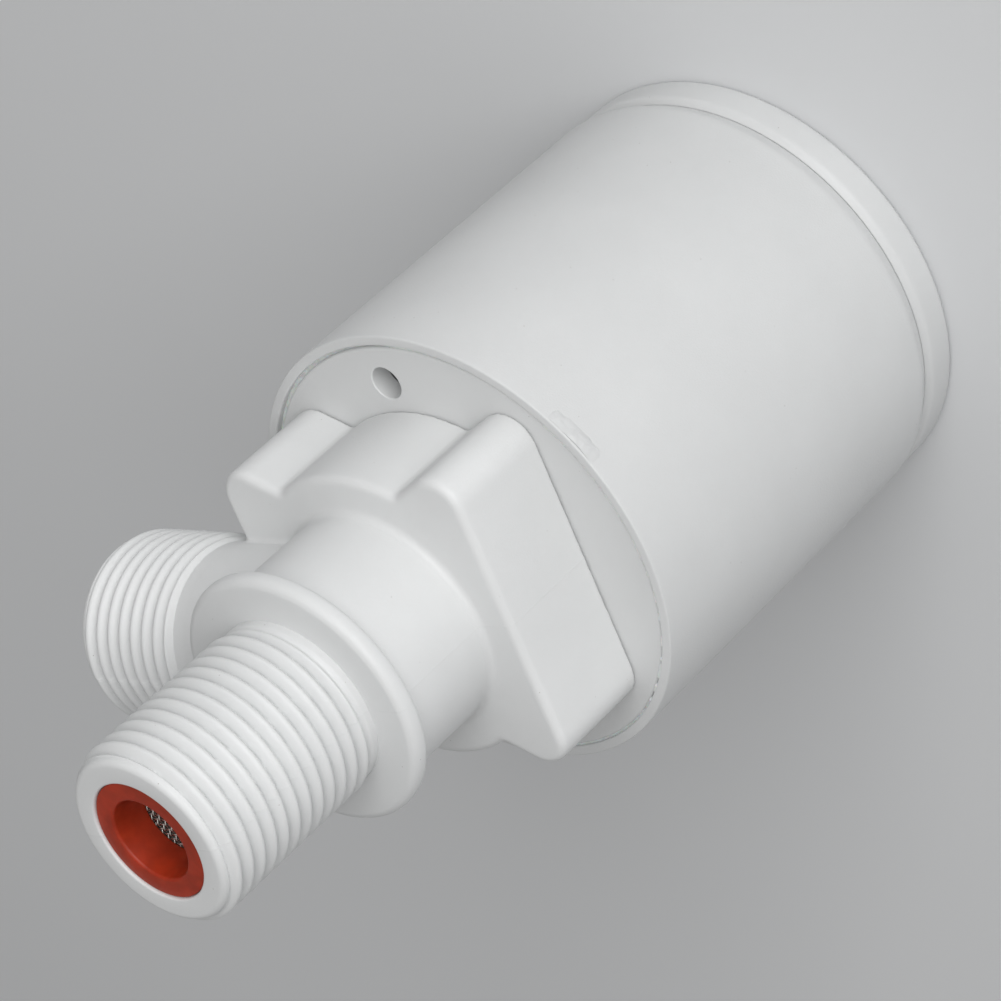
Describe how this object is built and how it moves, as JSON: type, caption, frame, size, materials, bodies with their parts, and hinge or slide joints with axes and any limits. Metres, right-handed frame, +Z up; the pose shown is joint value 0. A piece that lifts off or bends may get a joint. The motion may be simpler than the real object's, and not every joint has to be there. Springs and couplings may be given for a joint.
{
  "type": "float valve",
  "caption": "Pilot-operated water level valve: threaded inlet and side outlet on an eared block, over a cylindrical float housing with a hidden float.",
  "frame": {"origin": "on the main axis, in the flat bottom face of the float housing's cap", "axes": "+Z up along the main axis towards the inlet's mouth, +X along the side outlet towards its mouth, vent hole towards -Y"},
  "size_m": [0.0607, 0.053, 0.106],
  "materials": {
    "white_nylon": "satin moulded nylon",
    "red_silicone": "smooth moulded silicone",
    "stainless_steel": "bright drawn wire",
    "black_rubber": "moulded nitrile rubber",
    "acetal": "moulded acetal",
    "brass": "turned",
    "float_plastic": "moulded polypropylene",
    "adhesive": "cured adhesive"
  },
  "bodies": {
    "body": {"valve_body": "white_nylon", "inlet_spigot": "white_nylon", "outlet_spigot": "white_nylon", "inlet_seal": "red_silicone", "strainer_frame": "stainless_steel", "strainer_mesh": "stainless_steel", "top_plate": "white_nylon", "diaphragm": "black_rubber", "diaphragm_spring": "stainless_steel", "pilot_nozzle": "brass", "nozzle_seal": "black_rubber", "cover_screws": "stainless_steel", "lever_bracket": "acetal", "bracket_screws": "stainless_steel", "lever_pin": "stainless_steel", "float_housing": "white_nylon", "bottom_cap": "white_nylon", "rim_adhesive": "adhesive"},
    "diaphragm_centre": {"diaphragm_guide": "acetal", "diaphragm_backing": "acetal"},
    "lever": {"pilot_lever": "acetal", "pilot_pad": "black_rubber"},
    "float": {"float_cup": "float_plastic", "float_lid": "float_plastic", "float_rod": "acetal", "rod_nut": "stainless_steel", "link_pin": "stainless_steel"}
  },
  "joints": [
    {"name": "float_rise", "type": "slide", "parent": "body", "child": "float", "axis": [0, 0, 1], "range_m": [0, 0.006]},
    {"name": "lever_lift", "type": "hinge", "parent": "body", "child": "lever", "pos_m": [-0.011, 0, 0.0413], "axis": [0, -1, 0], "range_deg": [0, 14.04]},
    {"name": "diaphragm_open", "type": "slide", "parent": "body", "child": "diaphragm_centre", "axis": [0, 0, -1], "range_m": [0, 0.003], "stiffness_N_per_m": 120, "springref_m": -0.004, "deforming": ["diaphragm", "diaphragm_spring"]}
  ],
  "couplings": [
    {"joint": "lever_lift", "follows": "float_rise", "rad_per_m": 40.83}
  ]
}
